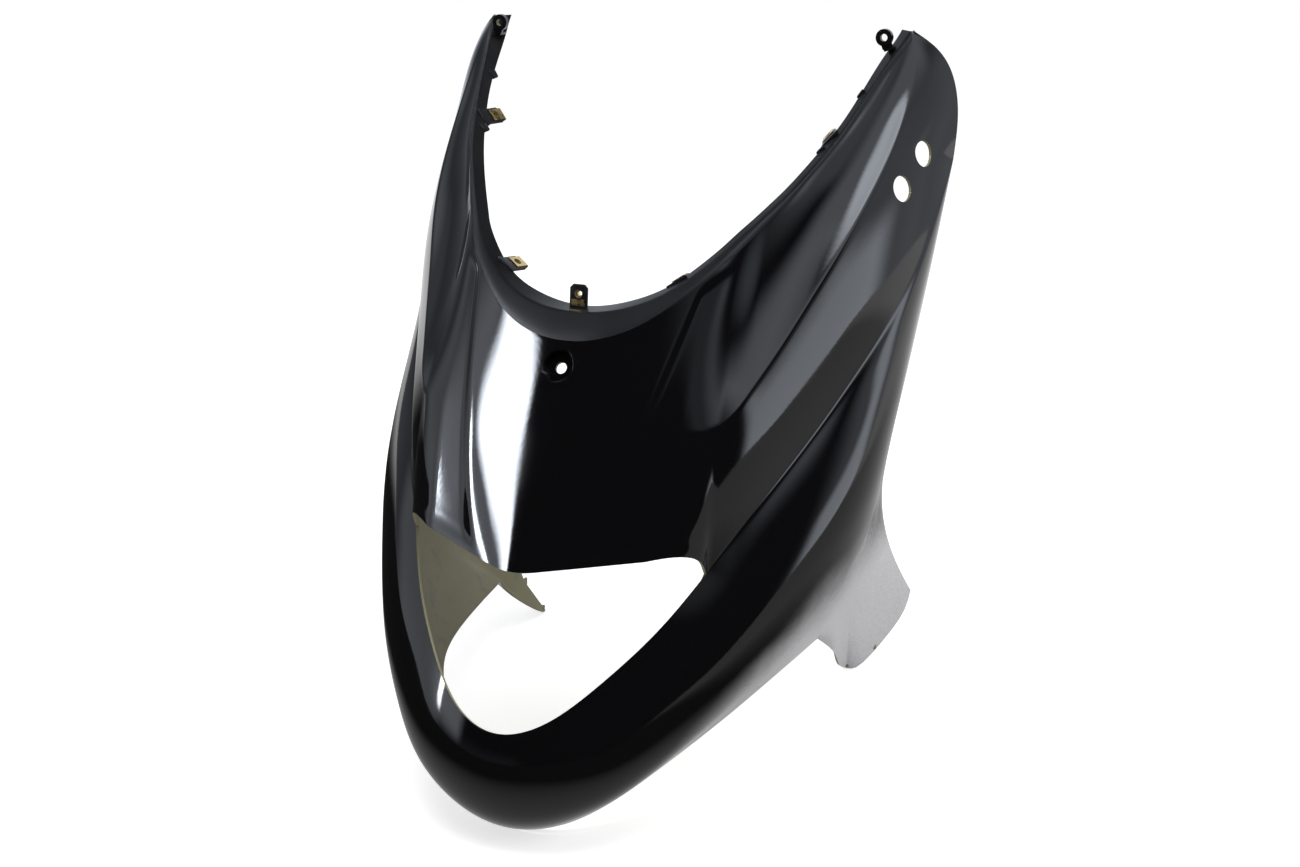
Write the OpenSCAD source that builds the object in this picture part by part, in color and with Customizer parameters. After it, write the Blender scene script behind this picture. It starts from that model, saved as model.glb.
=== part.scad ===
// Leg shield of a scooter: one thin moulded panel with a handlebar cut-out at the
// top, a lamp opening low in the middle and a pair of feet at the rear, and the
// spring clip nuts that sit on its screw tabs.
// The panel stands on its nose and its two feet. Front is -Y, up is +Z.

/* [Overall] */
// Height from the floor to the tips of the horns
shield_h = 640; // [560:1:720]
// Width across the horns
shield_w = 504; // [440:1:560]
// Depth from the chin to the rear of the horns
shield_d = 467; // [400:1:530]
// Wall thickness of the moulding
wall = 2.6; // [2:0.1:4]

/* [Handlebar cut-out] */
// Depth of the return flange in the middle of the cut-out
flange_d = 22; // [14:1:30]
// Width of the rolled band round the cut-out
band_w = 25; // [16:1:34]
// How far the rolled band turns back
band_roll = 5; // [2:0.5:8]

/* [Bevelled strips] */
// Height of the step down from the centre panel to the side panels
step_h = 3; // [1:0.25:5]
// Width of the step, as a share of one knot of the driving curves
step_share = 0.4; // [0.25:0.05:0.6]

/* [Centre screw seat] */
// Distance of the seat below the edge of the cut-out
seat_drop = 45; // [40:1:56]
// Diameter of the recess round the screw
seat_d = 27; // [22:0.5:32]
// Depth of the recess
seat_depth = 8; // [5:0.5:12]
// Diameter of the screw hole
seat_hole_d = 10; // [5:0.5:14]

/* [Horn holes] */
// Diameter of the two holes in each horn
horn_hole_d = 23; // [12:0.5:26]

/* [Top ears] */
// Diameter of the screw hole in each ear
ear_hole_d = 6.5; // [4:0.1:8]
// Outer diameter of the ear
ear_d = 15; // [13:0.5:18]
// Thickness of the ear
ear_t = 5; // [4:0.5:7]
// Width of the arm that carries the ear
ear_arm_w = 9; // [7:0.5:12]
// How far the arm stands back from the faces of the ear
ear_set_back = 0.6; // [0.3:0.1:1.5]
// Depth of the heel that joins the arm to the horn
ear_heel_l = 13; // [10:0.5:18]

/* [Screw tabs] */
// Width of each screw tab
tab_w = 16; // [14:0.5:20]
// Thickness of each screw tab
tab_t = 2.6; // [2:0.1:4]
// How far a tab stands out from the flange
tab_l = 20; // [17:0.5:26]
// Diameter of the hole through a tab
tab_hole_d = 7; // [5:0.1:8]
// Distance from the hole to the free end of the tab
tab_hole_end = 8; // [7:0.5:10]

/* [Locating lugs] */
// Length of the small lugs on the flange
lug_l = 9; // [6:0.5:12]
// How far a lug stands out from the flange
lug_h = 3.5; // [2:0.5:6]

/* [Clip nuts] */
// Thickness of the spring steel
clip_t = 0.8; // [0.5:0.1:1.2]
// Width of a clip nut
clip_w = 12; // [10:0.5:14]
// Length of the two leaves of a clip nut
clip_l = 14; // [13:0.5:17]
// Gap between a leaf and its tab
clip_gap = 0.1; // [0.05:0.05:0.3]
// Diameter of the threaded hole in a clip nut
clip_hole_d = 4.2; // [3:0.1:5]
// Outer diameter of the threaded neck
clip_neck_d = 7; // [6:0.1:8]
// Length of the threaded neck
clip_neck_l = 3; // [1.5:0.5:5]
// Length of the short front leaf of the centre clip nut
clip_lip_l = 3.5; // [2.5:0.5:5]

/* [Slots] */
// Height of the slots along the lower edge
slot_h = 3; // [2:0.5:5]
// Width of the land between the lower edge and the slots
slot_land = 5; // [4:0.5:8]
// Length of the slot in the flange of the cut-out
flange_slot_l = 12; // [8:1:18]
// Width of the slot in the flange of the cut-out
flange_slot_w = 3; // [2:0.5:5]

/* [Hooks] */
// Length of the small hooks behind the feet
hook_l = 8; // [5:0.5:12]
// Thickness of the small hooks
hook_t = 2.6; // [2:0.1:4]

/* [Hidden] */
$fn = 48;
over = 1;
// Size of the driving curves: width, depth and height
design_size = [504, 467, 640];

// Knots of the driving curves, in the design's own millimetres, on the +X half.
// The first knot of each lies in the middle plane.
// Front edge of the cut-out, from its lowest point to the tip of the horn
edge_u = [[0, -283, 427], [36, -281, 430], [74, -266, 442], [108, -234, 471], [120, -218, 484],
    [130, -203, 495], [141, -185, 508], [151, -168, 520], [161, -149, 535], [170, -129, 550],
    [179, -106, 567], [187, -82, 587], [194, -58, 606], [200, -37, 621], [205, -20, 632], [207, -9, 640]];
// Upper crease, with its run-out across the middle of the hood
crease_a = [[0, -350, 321], [20, -349, 321], [41, -347, 322], [70, -342, 325], [106, -324, 332],
    [141, -295, 345],
    [154, -262, 372], [170, -225, 406], [184, -190, 442], [199, -157, 477], [210, -117, 514], [217, -76, 550],
    [219, -46, 582], [218, -26, 608], [214, -12, 627], [209, -4, 640]];
// Upper edge of the lamp opening, from the middle to its outer end
lamp_top = [[0, -400, 241], [9, -399, 241], [19, -396, 242], [29, -392, 243], [100, -359, 250]];
// Round corner of the lamp opening
lamp_corner = [[100, -359, 250], [120, -342, 252], [137, -325, 246], [137, -317, 229]];
// Lower crease, from the corner of the lamp opening to the outer edge of the horn
crease_b = [[137, -317, 229], [167, -270, 278], [194, -209, 323], [216, -159, 368], [237, -108, 414],
    [248, -52, 470], [252, 0, 528]];
// Outer edge of the horn, from the end of the lower crease to the tip
horn_rear = [[252, 0, 528], [253, 12, 568], [245, 15, 604], [230, 10, 626], [211, -4, 640]];
// Lower edge of the lamp opening, from the middle to its corner
lamp_low = [[0, -438, 112], [24, -434, 116], [50, -422, 129], [79, -396, 155], [113, -358, 190],
    [137, -317, 229]];
// Lower edge of the body, from the nose to the notch in front of the foot
body_low = [[0, -394, 0], [34, -390, 4], [68, -362, 19], [98, -332, 42], [133, -298, 71],
    [153, -247, 83], [171, -102, 79]];
// Front edge of the foot, from the notch to the tip
foot_front = [[171, -102, 79], [183, -76, 56], [171, -24, 12], [173, 0, 0]];
// Rear edge of the foot, from the tip to its outer corner
foot_rear = [[173, 0, 0], [185, -1, 0], [206, 13, 30], [227, 18, 64], [232, 14, 92]];
// Rear edge of the body, from the foot to the end of the lower crease
body_rear = [[232, 14, 92], [198, -10, 160], [202, -18, 240], [226, -12, 360], [240, -5, 460], [252, 0, 528]];
// Control curves of the lower body between its two edges
low_1 = [[0, -452, 84], [36, -447, 90], [72, -430, 102], [101, -400, 124], [137, -364, 160], [165, -313, 215],
    [187, -265, 262], [209, -208, 312], [225, -158, 357], [241, -106, 406], [250, -50, 466], [252, 0, 528]];
low_2 = [[0, -452, 36], [47, -444, 40], [95, -423, 56], [135, -385, 89], [174, -338, 130], [211, -275, 185],
    [242, -222, 238], [253, -174, 285], [251, -132, 325], [247, -87, 370], [249, -40, 446], [252, 0, 528]];
low_3 = [[0, -424, 12], [40, -412, 17], [80, -384, 36], [114, -352, 64], [148, -314, 94], [179, -250, 114],
    [198, -160, 120], [203, -92, 140], [198, -47, 190], [215, -36, 270], [236, -18, 400], [252, 0, 528]];

// Knots at which the surface changes from one edge to the next
strip_knot = 3;
corner_knot = 5;
notch_knot = 6;
tip_knot = 7;
foot_knot = 8;
end_knot = 11;
// Places along the knots where the surface has a row of points
rows = [0, 0.45, 0.9, 1.3, 1.7, 2, 2.35, 2.7, strip_knot, strip_knot + step_share / 2, strip_knot + step_share,
    3.7, 4, 4.35, for (s = [14:21]) s / 3, tip_knot + 0.17, for (s = [22:33]) s / 3,
    for (s = [23:30]) s / 2];
hood_cols = [for (j = [-2:0]) j / 2, for (j = [1:13]) j / 13, for (j = [1:6]) 1 + j / 6];
n_hood = len(rows) - 1;
n_low = search(end_knot, rows)[0];
n_corner = search(corner_knot, rows)[0];
c_hood = len(hood_cols) - 1;
c_low = 15;
// Column of cells that holds the slots along the lower edge, and the rows at which each slot ends
slot_col = c_low - 2;
slot_row_1 = 4;
slot_row_2 = 5;
slot_row_3 = 9;
slots = [[-slot_row_1, slot_row_1], [slot_row_2, slot_row_3], [-slot_row_3, -slot_row_2]];

function scaled(p) = [p.x * shield_w / design_size.x, p.y * shield_d / design_size.y,
    p.z * shield_h / design_size.z];
function mix(a, b, t) = a + (b - a) * t;
function unit(v) = v / max(norm(v), 1e-9);
function ramp(t) = let (c = min(max(t, 0), 1)) c * c * (3 - 2 * c);
function mirrored(p) = [-p.x, p.y, p.z];

// A uniform cubic B-spline that meets its first and last points
function knot(c, i, even) = i < 0 ? (even ? mirrored(c[-i]) : 2 * c[0] - c[-i])
    : i >= len(c) ? 2 * c[len(c) - 1] - c[2 * len(c) - 2 - i] : c[i];
function spline(c, s, even = false) = let (
    i = min(max(floor(s), 0), len(c) - 2),
    t = s - i)
    (knot(c, i - 1, even) * pow(1 - t, 3) + knot(c, i, even) * (3 * t * t * t - 6 * t * t + 4)
    + knot(c, i + 1, even) * (-3 * t * t * t + 3 * t * t + 3 * t + 1) + knot(c, i + 2, even) * t * t * t) / 6;

// The edges that have a corner are joined from their pieces
function outer_top(s) = s <= 4 ? spline(lamp_top, s, true)
    : s <= corner_knot ? spline(lamp_corner, (s - 4) * 3)
    : s <= end_knot ? spline(crease_b, s - corner_knot) : spline(horn_rear, s - end_knot);
function inner_low(s) = s <= corner_knot ? spline(lamp_low, s, true) : spline(crease_b, s - corner_knot);
function outer_low(s) = s <= notch_knot ? spline(body_low, s, true)
    : s <= tip_knot ? spline(foot_front, (s - notch_knot) * 3)
    : s <= foot_knot ? spline(foot_rear, (s - tip_knot) * 4) : spline(body_rear, (s - foot_knot) * 5 / 3);

// One point of the hood: u runs from the rear of the return flange (-1) over the edge of the
// cut-out (0) and the upper crease (1) to the outer edge (2)
function hood(s, u) = let (
    e = spline(edge_u, s, true),
    a = spline(crease_a, s, true),
    o = outer_top(s),
    turn = ramp(s / 4),
    sharp = ramp((s - 3.6) / 2.4) * ramp((15 - s) / 4),
    reach = norm(a - e),
    roll = band_roll * pow(max(1 - max(u, 0) * reach / band_w, 0), 2),
    step = step_h * ramp((s - strip_knot) / step_share) * (1 - ramp((s - strip_knot - step_share) / 1.4))
        * ramp((u * reach - band_w) / 12) * (1 - ramp((u - 1.85) / 0.15)),
    crown = 8 * sharp * sin(180 * min(max(u, 0), 1)),
    facet = -5 * sharp * sin(180 * max(u - 1, 0)),
    creased = u <= 1 ? mix(e, a, u) : mix(a, o, u - 1),
    base = u <= 0 ? e : mix(spline([e, a, o], u), creased, sharp),
    depth = flange_d * (1 - 0.55 * turn + 0.25 * ramp((s - 10) / 3.5)),
    inward = ramp((s - 1.4) / 3.6),
    rise = 0.22 * ramp(s / 2) * (1 - ramp((s - 2.5) / 3)),
    flange = max(-u, 0) * depth * unit([-0.65 * inward, 1 - 0.25 * inward, rise]))
    base + flange + [0, roll + step, 0] + (crown + facet) * [-0.55, 0.8, 0.1];

// One point of the lower body: u runs from the lamp opening (0) to the lower edge (4)
function low(s, u) = spline([inner_low(s), spline(low_1, s, true), spline(low_2, s, true),
    spline(low_3, s, true), outer_low(s)], u);

// Column j of the lower body: the last ones keep the slots at their real distance from the edge
function low_col(s, j) = let (
    pitch = max(norm(spline(low_3, s, true) - outer_low(s)), 20),
    slot_top = 4 - (slot_land + slot_h) / pitch)
    j <= slot_col ? slot_top * j / slot_col : j < c_low ? 4 - slot_land / pitch : 4;

// The two sheets of points of the +X half, their normals and the same sheets one wall further in
hood_sheet = [for (s = rows) [for (u = hood_cols) scaled(hood(s, u))]];
low_sheet = [for (i = [0:n_low]) [for (j = [0:c_low]) scaled(low(rows[i], low_col(rows[i], j)))]];
function at(g, i, j) = i < 0 ? mirrored(g[-i][j]) : g[i][j];
function face_normal(g, i, j) = let (
    n = len(g) - 1,
    m = len(g[0]) - 1,
    ds = at(g, min(i + 1, n), j) - at(g, i == n ? n - 1 : i - 1, j),
    du = g[i][min(j + 1, m)] - g[i][max(j - 1, 0)])
    unit(cross(du, ds));
hood_normal = [for (i = [0:n_hood]) [for (j = [0:c_hood]) face_normal(hood_sheet, i, j)]];
low_normal = [for (i = [0:n_low - 1]) [for (j = [0:c_low]) face_normal(low_sheet, i, j)]];
function hood_inner(i, j) = let (
    shared = j == c_hood && i >= n_corner && i < n_low,
    n = shared ? unit(hood_normal[i][j] + low_normal[i][0]) : hood_normal[i][j])
    hood_sheet[i][j] - wall * n;
hood_back = [for (i = [0:n_hood]) [for (j = [0:c_hood]) hood_inner(i, j)]];
low_back = [for (i = [0:n_low - 1]) [for (j = [0:c_low]) low_sheet[i][j] - wall * low_normal[i][j]]];

module shell() {
  points = [for (g = [hood_sheet, hood_back], i = [-n_hood:n_hood], j = [0:c_hood]) at(g, i, j),
      for (g = [low_sheet, low_back], i = [1 - n_low:n_low - 1], j = [0:c_low]) at(g, i, j)];
  hood_count = (2 * n_hood + 1) * (c_hood + 1);
  low_count = (2 * n_low - 1) * (c_low + 1);
  function hood_id(i, j, side) = side * hood_count + (i + n_hood) * (c_hood + 1) + j;
  function low_id(i, j, side) = abs(i) == n_low || (j == 0 && abs(i) >= n_corner) ? hood_id(i, c_hood, side)
      : 2 * hood_count + side * low_count + (i + n_low - 1) * (c_low + 1) + j;
  function patch(a, b, c, d) = [if (a != b && b != c && a != c) [a, c, b],
      if (a != c && c != d && a != d) [a, d, c]];
  function cell(a, b, c, d, side) = side == 0 ? patch(a, b, c, d) : patch(d, c, b, a);
  function in_slot(i, j) = j == slot_col && len([for (k = slots) if (i >= k[0] && i < k[1]) 1]) > 0;
  hood_faces = [for (side = [0, 1], i = [-n_hood:n_hood - 1], j = [0:c_hood - 1])
      each cell(hood_id(i, j, side), hood_id(i, j + 1, side),
      hood_id(i + 1, j + 1, side), hood_id(i + 1, j, side), side)];
  low_faces = [for (side = [0, 1], i = [-n_low:n_low - 1], j = [0:c_low - 1]) if (!in_slot(i, j))
      each cell(low_id(i, j, side), low_id(i, j + 1, side),
      low_id(i + 1, j + 1, side), low_id(i + 1, j, side), side)];
  // Walls of the thickness, along column j of each patch
  function hood_wall(i, j) = patch(hood_id(i, j, 0), hood_id(i + 1, j, 0), hood_id(i + 1, j, 1),
      hood_id(i, j, 1));
  function low_wall(i, j) = patch(low_id(i, j, 0), low_id(i + 1, j, 0), low_id(i + 1, j, 1), low_id(i, j, 1));
  function turned(faces) = [for (f = faces) [f[0], f[2], f[1]]];
  flange_rim = [for (i = [-n_hood:n_hood - 1]) each hood_wall(i, 0)];
  hood_rim = [for (i = [-n_hood:n_hood - 1]) if (abs(i + 0.5) < n_corner || abs(i + 0.5) > n_low)
      each turned(hood_wall(i, c_hood))];
  tip_rim = [for (end = [-1, 1], j = [0:c_hood - 1])
      each cell(hood_id(end * n_hood, j, 0), hood_id(end * n_hood, j + 1, 0),
      hood_id(end * n_hood, j + 1, 1), hood_id(end * n_hood, j, 1), end > 0 ? 0 : 1)];
  lamp_rim = [for (i = [-n_corner:n_corner - 1]) each low_wall(i, 0)];
  low_rim = [for (i = [-n_low:n_low - 1]) each turned(low_wall(i, c_low))];
  slot_rims = [for (k = slots, i = [k[0]:k[1] - 1])
      each concat(turned(low_wall(i, slot_col)), low_wall(i, slot_col + 1))];
  slot_ends = [for (k = slots, e = [0, 1]) each cell(low_id(k[e], slot_col, 0), low_id(k[e], slot_col + 1, 0),
      low_id(k[e], slot_col + 1, 1), low_id(k[e], slot_col, 1), e)];
  polyhedron(points = points, faces = concat(hood_faces, low_faces, flange_rim, hood_rim, tip_rim, lamp_rim,
      low_rim, slot_rims, slot_ends));
}

// Places that the fittings line up with
low_ys = [for (g = [low_sheet, low_back], r = g, p = r) p.y];
y_mid = (min(low_ys) + max(low_ys)) / 2;
function spot(s, u) = scaled(hood(s, u));
function out_normal(s, u) = unit(cross(spot(s, u + 0.02) - spot(s, u - 0.02),
    spot(s + 0.02, u) - spot(s - 0.02, u)));
seat_u = seat_drop / norm(spot(0, 1) - spot(0, 0));
horn_holes = [[11, 1.46], [10.35, 1.34]];
ear_knot = 13.7;
ear_at = scaled([190.5, -28, 636]);
// Each tab: its knot along the cut-out, its place across the flange and the way it points
tab_centre = [0, -0.6, [0, 0.1, 1]];
tab_low = [2.2, -1, [-0.15, 0.85, -0.1]];
tab_high = [9.4, -1, [-0.3, 0.95, 0]];
lug_places = [[8.9, -1, [-0.3, 0.95, 0]], [11.2, -1, [-0.3, 0.95, 0]]];

// Lengths along a tab and across a clip nut
hole_y = tab_l - tab_hole_end;
bend_y = tab_l + clip_gap;
clip_in = tab_t + 2 * clip_gap;
clip_out = clip_in + 2 * clip_t;
slot_room = clip_out / 2 + 2 * clip_gap;
zinc = [0.78, 0.6, 0.28];

// A frame whose z axis follows a direction, and one whose y axis does
function frame_z(o, z, hint = [0, 0, 1]) = let (x = unit(cross(hint, z)), y = cross(z, x))
    [[x.x, y.x, z.x, o.x], [x.y, y.y, z.y, o.y], [x.z, y.z, z.z, o.z], [0, 0, 0, 1]];
function frame_y(o, y, x0) = let (z = unit(cross(x0, y)), x = cross(y, z))
    [[x.x, y.x, z.x, o.x], [x.y, y.y, z.y, o.y], [x.z, y.z, z.z, o.z], [0, 0, 0, 1]];
function edge_run(tab) = unit(spot(tab[0] + 0.05, tab[1]) - spot(tab[0] - 0.05, tab[1]));
module on_tab(tab) {
  multmatrix(frame_y(spot(tab[0], tab[1]), unit(tab[2]), edge_run(tab))) children();
}
module both_sides() {
  children();
  mirror([1, 0, 0]) children();
}

module seat_cup() {
  multmatrix(frame_z(spot(0, seat_u), out_normal(0, seat_u))) translate([0, 0, -seat_depth - wall])
    cylinder(d = seat_d + 2 * wall, h = seat_depth + wall - 0.9);
}
module seat_cuts() {
  multmatrix(frame_z(spot(0, seat_u), out_normal(0, seat_u))) {
    translate([0, 0, -seat_depth]) cylinder(d = seat_d, h = seat_depth + 3 * over);
    translate([0, 0, -seat_depth - wall - over]) cylinder(d = seat_hole_d, h = wall + 2 * over);
  }
}
module horn_hole_cuts() {
  for (k = horn_holes) multmatrix(frame_z(spot(k[0], k[1]), out_normal(k[0], k[1])))
    cylinder(d = horn_hole_d, h = 40, center = true);
}
// The ear is a disc on a thin arm, which a deeper heel joins to the horn
module ear() {
  root = spot(ear_knot, -1);
  reach = [root.x - ear_at.x, 0, root.z - ear_at.z];
  arm_l = norm(reach) + 2;
  heel_w = ear_arm_w - 2 * ear_set_back;
  translate(ear_at) rotate([90, 0, 0]) cylinder(d = ear_d, h = ear_t, center = true);
  translate(ear_at) rotate([0, atan2(reach.x, reach.z), 0]) {
    translate([-ear_arm_w / 2, ear_set_back - ear_t / 2, 0])
      cube([ear_arm_w, ear_t - 2 * ear_set_back, arm_l]);
    translate([-heel_w / 2, 2 * ear_set_back - ear_t / 2, ear_d / 2 + 2]) cube([heel_w, ear_heel_l, arm_l - ear_d / 2]);
  }
}
module ear_cut() {
  translate(ear_at) rotate([90, 0, 0]) cylinder(d = ear_hole_d, h = 60, center = true);
}
module tab_body() {
  linear_extrude(tab_t, center = true)
    polygon([[-tab_w / 2 - 2, -4], [tab_w / 2 + 2, -4], [tab_w / 2, 1], [tab_w / 2, tab_l - 3],
        [tab_w / 2 - 3, tab_l], [3 - tab_w / 2, tab_l], [-tab_w / 2, tab_l - 3], [-tab_w / 2, 1]]);
}
module lug() {
  linear_extrude(tab_t, center = true)
    polygon([[-lug_l / 2, -3], [lug_l / 2, -3], [lug_l / 2 - 1, lug_h], [1 - lug_l / 2, lug_h]]);
}
module tab_cut() {
  translate([0, hole_y, 0]) cylinder(d = tab_hole_d, h = 4 * tab_t, center = true);
}
// The slot at the root of the centre tab, which the fold of its clip nut passes through
module root_slot() {
  translate([0, 2 * hole_y - bend_y - slot_room / 2 + clip_gap, 0])
    cube([clip_w + 2 * clip_gap + 0.6, slot_room, 4 * tab_t], center = true);
}
module foot_hooks() {
  translate(scaled([200, 9, 28])) cube([hook_t, hook_l, hook_l], center = true);
  translate(scaled([173, -4, 5])) rotate([0, 0, -20]) translate([-hook_t, 0, -2]) cube([2 * hook_t, hook_l, 4]);
}

module front_panel() {
  color([0.05, 0.05, 0.06]) translate([0, -y_mid, 0]) difference() {
    union() {
      shell();
      seat_cup();
      both_sides() {
        ear();
        on_tab(tab_low) tab_body();
        on_tab(tab_high) tab_body();
        for (place = lug_places) on_tab(place) lug();
        foot_hooks();
      }
      on_tab(tab_centre) tab_body();
    }
    seat_cuts();
    translate(spot(0, -0.22)) cube([flange_slot_l, flange_slot_w, 8 * wall], center = true);
    on_tab(tab_centre) {
      tab_cut();
      root_slot();
    }
    both_sides() {
      horn_hole_cuts();
      ear_cut();
      on_tab(tab_low) tab_cut();
      on_tab(tab_high) tab_cut();
    }
  }
}

// A folded spring clip with a threaded neck, pushed over the free end of a tab
module clip_body(front_l) {
  difference() {
    union() {
      rotate([90, 0, 90]) linear_extrude(clip_w, center = true) difference() {
        union() {
          translate([bend_y - clip_l, -clip_out / 2]) square([clip_l, clip_out / 2]);
          translate([bend_y - front_l, 0]) square([front_l, clip_out / 2]);
          translate([bend_y, 0]) circle(d = clip_out);
        }
        translate([bend_y - clip_l - over, -clip_in / 2]) square([clip_l + over, clip_in]);
        translate([bend_y, 0]) circle(d = clip_in);
      }
      translate([0, hole_y, -clip_out / 2 - clip_neck_l]) cylinder(d = clip_neck_d, h = clip_neck_l + clip_t / 2);
    }
    translate([0, hole_y, -clip_out / 2 - clip_neck_l - over])
      cylinder(d = clip_hole_d, h = clip_neck_l + clip_t + 2 * over);
    translate([0, hole_y, 0]) cylinder(d = tab_hole_d, h = clip_out);
  }
}
module clip_nut(tab) {
  color(zinc) translate([0, -y_mid, 0]) on_tab(tab) clip_body(clip_l);
}
// The centre clip nut is turned round: it folds through the root of its tab
module clip_nut_centre() {
  color(zinc) translate([0, -y_mid, 0]) on_tab(tab_centre) translate([0, 2 * hole_y, 0]) rotate([0, 0, 180])
    clip_body(clip_lip_l);
}
module clip_nut_low_right() {
  clip_nut(tab_low);
}
module clip_nut_low_left() {
  mirror([1, 0, 0]) clip_nut(tab_low);
}
module clip_nut_high_right() {
  clip_nut(tab_high);
}
module clip_nut_high_left() {
  mirror([1, 0, 0]) clip_nut(tab_high);
}

front_panel();
clip_nut_centre();
clip_nut_low_left();
clip_nut_low_right();
clip_nut_high_left();
clip_nut_high_right();
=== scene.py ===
"""Looks of the scooter leg shield: a fine gloss-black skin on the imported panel, its clip nuts and studio."""
import math

import bmesh
import bpy
import numpy as np
from mathutils import Matrix, Vector


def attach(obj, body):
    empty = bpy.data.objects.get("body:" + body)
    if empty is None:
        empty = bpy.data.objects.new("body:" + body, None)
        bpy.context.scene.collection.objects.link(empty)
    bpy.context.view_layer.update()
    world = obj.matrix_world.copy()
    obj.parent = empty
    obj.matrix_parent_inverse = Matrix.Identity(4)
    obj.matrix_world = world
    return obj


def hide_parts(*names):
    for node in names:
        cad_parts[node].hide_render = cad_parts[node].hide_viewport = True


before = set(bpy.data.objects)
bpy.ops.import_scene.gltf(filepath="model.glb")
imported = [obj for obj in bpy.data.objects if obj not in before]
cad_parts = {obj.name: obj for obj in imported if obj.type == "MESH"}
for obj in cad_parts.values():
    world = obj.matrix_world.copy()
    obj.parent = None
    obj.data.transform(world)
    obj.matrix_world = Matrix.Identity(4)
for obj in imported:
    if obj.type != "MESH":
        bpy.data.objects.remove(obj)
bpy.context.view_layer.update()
MM = 0.001

# Sizes of the panel in millimetres, and places along its curves in knots, as in the part's source
WALL = 2.6
FLANGE_D = 22
BAND_W = 24
BAND_TIP_W = 8
BAND_FADE = 9
BAND_ROLL = 5
STEP_H = 3
STEP_SHARE = 0.4
STRIP_KNOT = 3
CORNER_KNOT = 5
NOTCH_KNOT = 6
TIP_KNOT = 7
FOOT_KNOT = 8
END_KNOT = 11
LAST_KNOT = 15
SLOT_H = 3
SLOT_LAND = 5
SLOT_SPANS = [(-1.7, 1.7), (2.0, 3.2), (-3.2, -2.0)]
Y_MID = -215.819

# Places of the panel's materials in its list
PAINT = 0
BAND = 1
BARE = 2

# Radii of the rounded lip and creases, in millimetres
LIP_R = 2.2
CREASE_R = 3.0

# Shape of the hood, along it in knots and across it in shares of the way between its curves
TURN_OVER = 4
SHARP_FROM = 3.6
SHARP_OVER = 2.4
SHARP_END_OVER = 4
STEP_FADE = 1.4
STEP_RISE = 12
STEP_END = 1.85
STEP_END_OVER = 0.15
BAND_END_MAX = 0.85

# How far the facets bulge and the side panels hollow, in millimetres, and the way they move
CROWN = 8
HOLLOW = 5
BULGE_WAY = (-0.55, 0.8, 0.1)

# Return flange: how its depth, lean and rise change along the cut-out, in knots and shares
FLANGE_LOSS = 0.55
FLANGE_GAIN = 0.25
FLANGE_GAIN_FROM = 10
FLANGE_GAIN_OVER = 3.5
LEAN_FROM = 1.4
LEAN_OVER = 3.6
LEAN_IN = 0.65
LEAN_BACK = 0.25
RISE = 0.22
RISE_OVER = 2
RISE_END = 2.5
RISE_END_OVER = 3

# Rows of the fine mesh, in knots along the curves
ROW_STEP = 0.1
STRIP_ROW_STEP = 0.04
STRIP_ROWS_OVER = 0.6

# Columns of the fine mesh: single ones close to the lip, creases and edges, (first, last, count) between them
HOOD_CLOSE = [-0.1, -0.06, -0.03, 0, 0.04, 0.09, 0.15, 1.975, 1.99, 2.0, 2.02, 2.05, 2.975, 2.99, 3.0]
HOOD_SPANS = [(-1, -0.14, 5), (0.24, 1, 6), (1.03, 1.96, 28), (2.09, 2.95, 22)]
LOW_CLOSE = [0, 0.004, 0.01, 0.02, 2, 2.5, 3]
LOW_SPAN = (0.04, 1, 34)
LOW_MIN_PITCH = 20

# Points of the skin closer than this are one, in millimetres
MERGE = 0.02

# Driving curves of the +X half, in millimetres: the first knot of each lies in the middle plane
EDGE_U = [(0, -283, 427), (36, -281, 430), (74, -266, 442), (108, -234, 471), (120, -218, 484),
          (130, -203, 495), (141, -185, 508), (151, -168, 520), (161, -149, 535), (170, -129, 550),
          (179, -106, 567), (187, -82, 587), (194, -58, 606), (200, -37, 621), (205, -20, 632),
          (207, -9, 640)]
CREASE_A = [(0, -350, 321), (20, -349, 321), (41, -347, 322), (70, -342, 325), (106, -324, 332),
            (141, -295, 345), (154, -262, 372), (170, -225, 406), (184, -190, 442), (199, -157, 477),
            (210, -117, 514), (217, -76, 550), (219, -46, 582), (218, -26, 608), (214, -12, 627),
            (209, -4, 640)]
LAMP_TOP = [(0, -400, 241), (9, -399, 241), (19, -396, 242), (29, -392, 243), (100, -359, 250)]
LAMP_CORNER = [(100, -359, 250), (120, -342, 252), (137, -325, 246), (137, -317, 229)]
CREASE_B = [(137, -317, 229), (167, -270, 278), (194, -209, 323), (216, -159, 368), (237, -108, 414),
            (248, -52, 470), (252, 0, 528)]
HORN_REAR = [(252, 0, 528), (253, 12, 568), (245, 15, 604), (230, 10, 626), (211, -4, 640)]
LAMP_LOW = [(0, -438, 112), (24, -434, 116), (50, -422, 129), (79, -396, 155), (113, -358, 190),
            (137, -317, 229)]
BODY_LOW = [(0, -394, 0), (34, -390, 4), (68, -362, 19), (98, -332, 42), (133, -298, 71),
            (153, -247, 83), (171, -102, 79)]
FOOT_FRONT = [(171, -102, 79), (183, -76, 56), (171, -24, 12), (173, 0, 0)]
FOOT_REAR = [(173, 0, 0), (185, -1, 0), (206, 13, 30), (227, 18, 64), (232, 14, 92)]
BODY_REAR = [(232, 14, 92), (198, -10, 160), (202, -18, 240), (226, -12, 360), (240, -5, 460),
             (252, 0, 528)]
LOW_1 = [(0, -452, 84), (36, -447, 90), (72, -430, 102), (101, -400, 124), (137, -364, 160),
         (165, -313, 215), (187, -265, 262), (209, -208, 312), (225, -158, 357), (241, -106, 406),
         (250, -50, 466), (252, 0, 528)]
LOW_2 = [(0, -452, 36), (47, -444, 40), (95, -423, 56), (135, -385, 89), (174, -338, 130),
         (211, -275, 185), (242, -222, 238), (253, -174, 285), (251, -132, 325), (247, -87, 370),
         (249, -40, 446), (252, 0, 528)]
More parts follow.
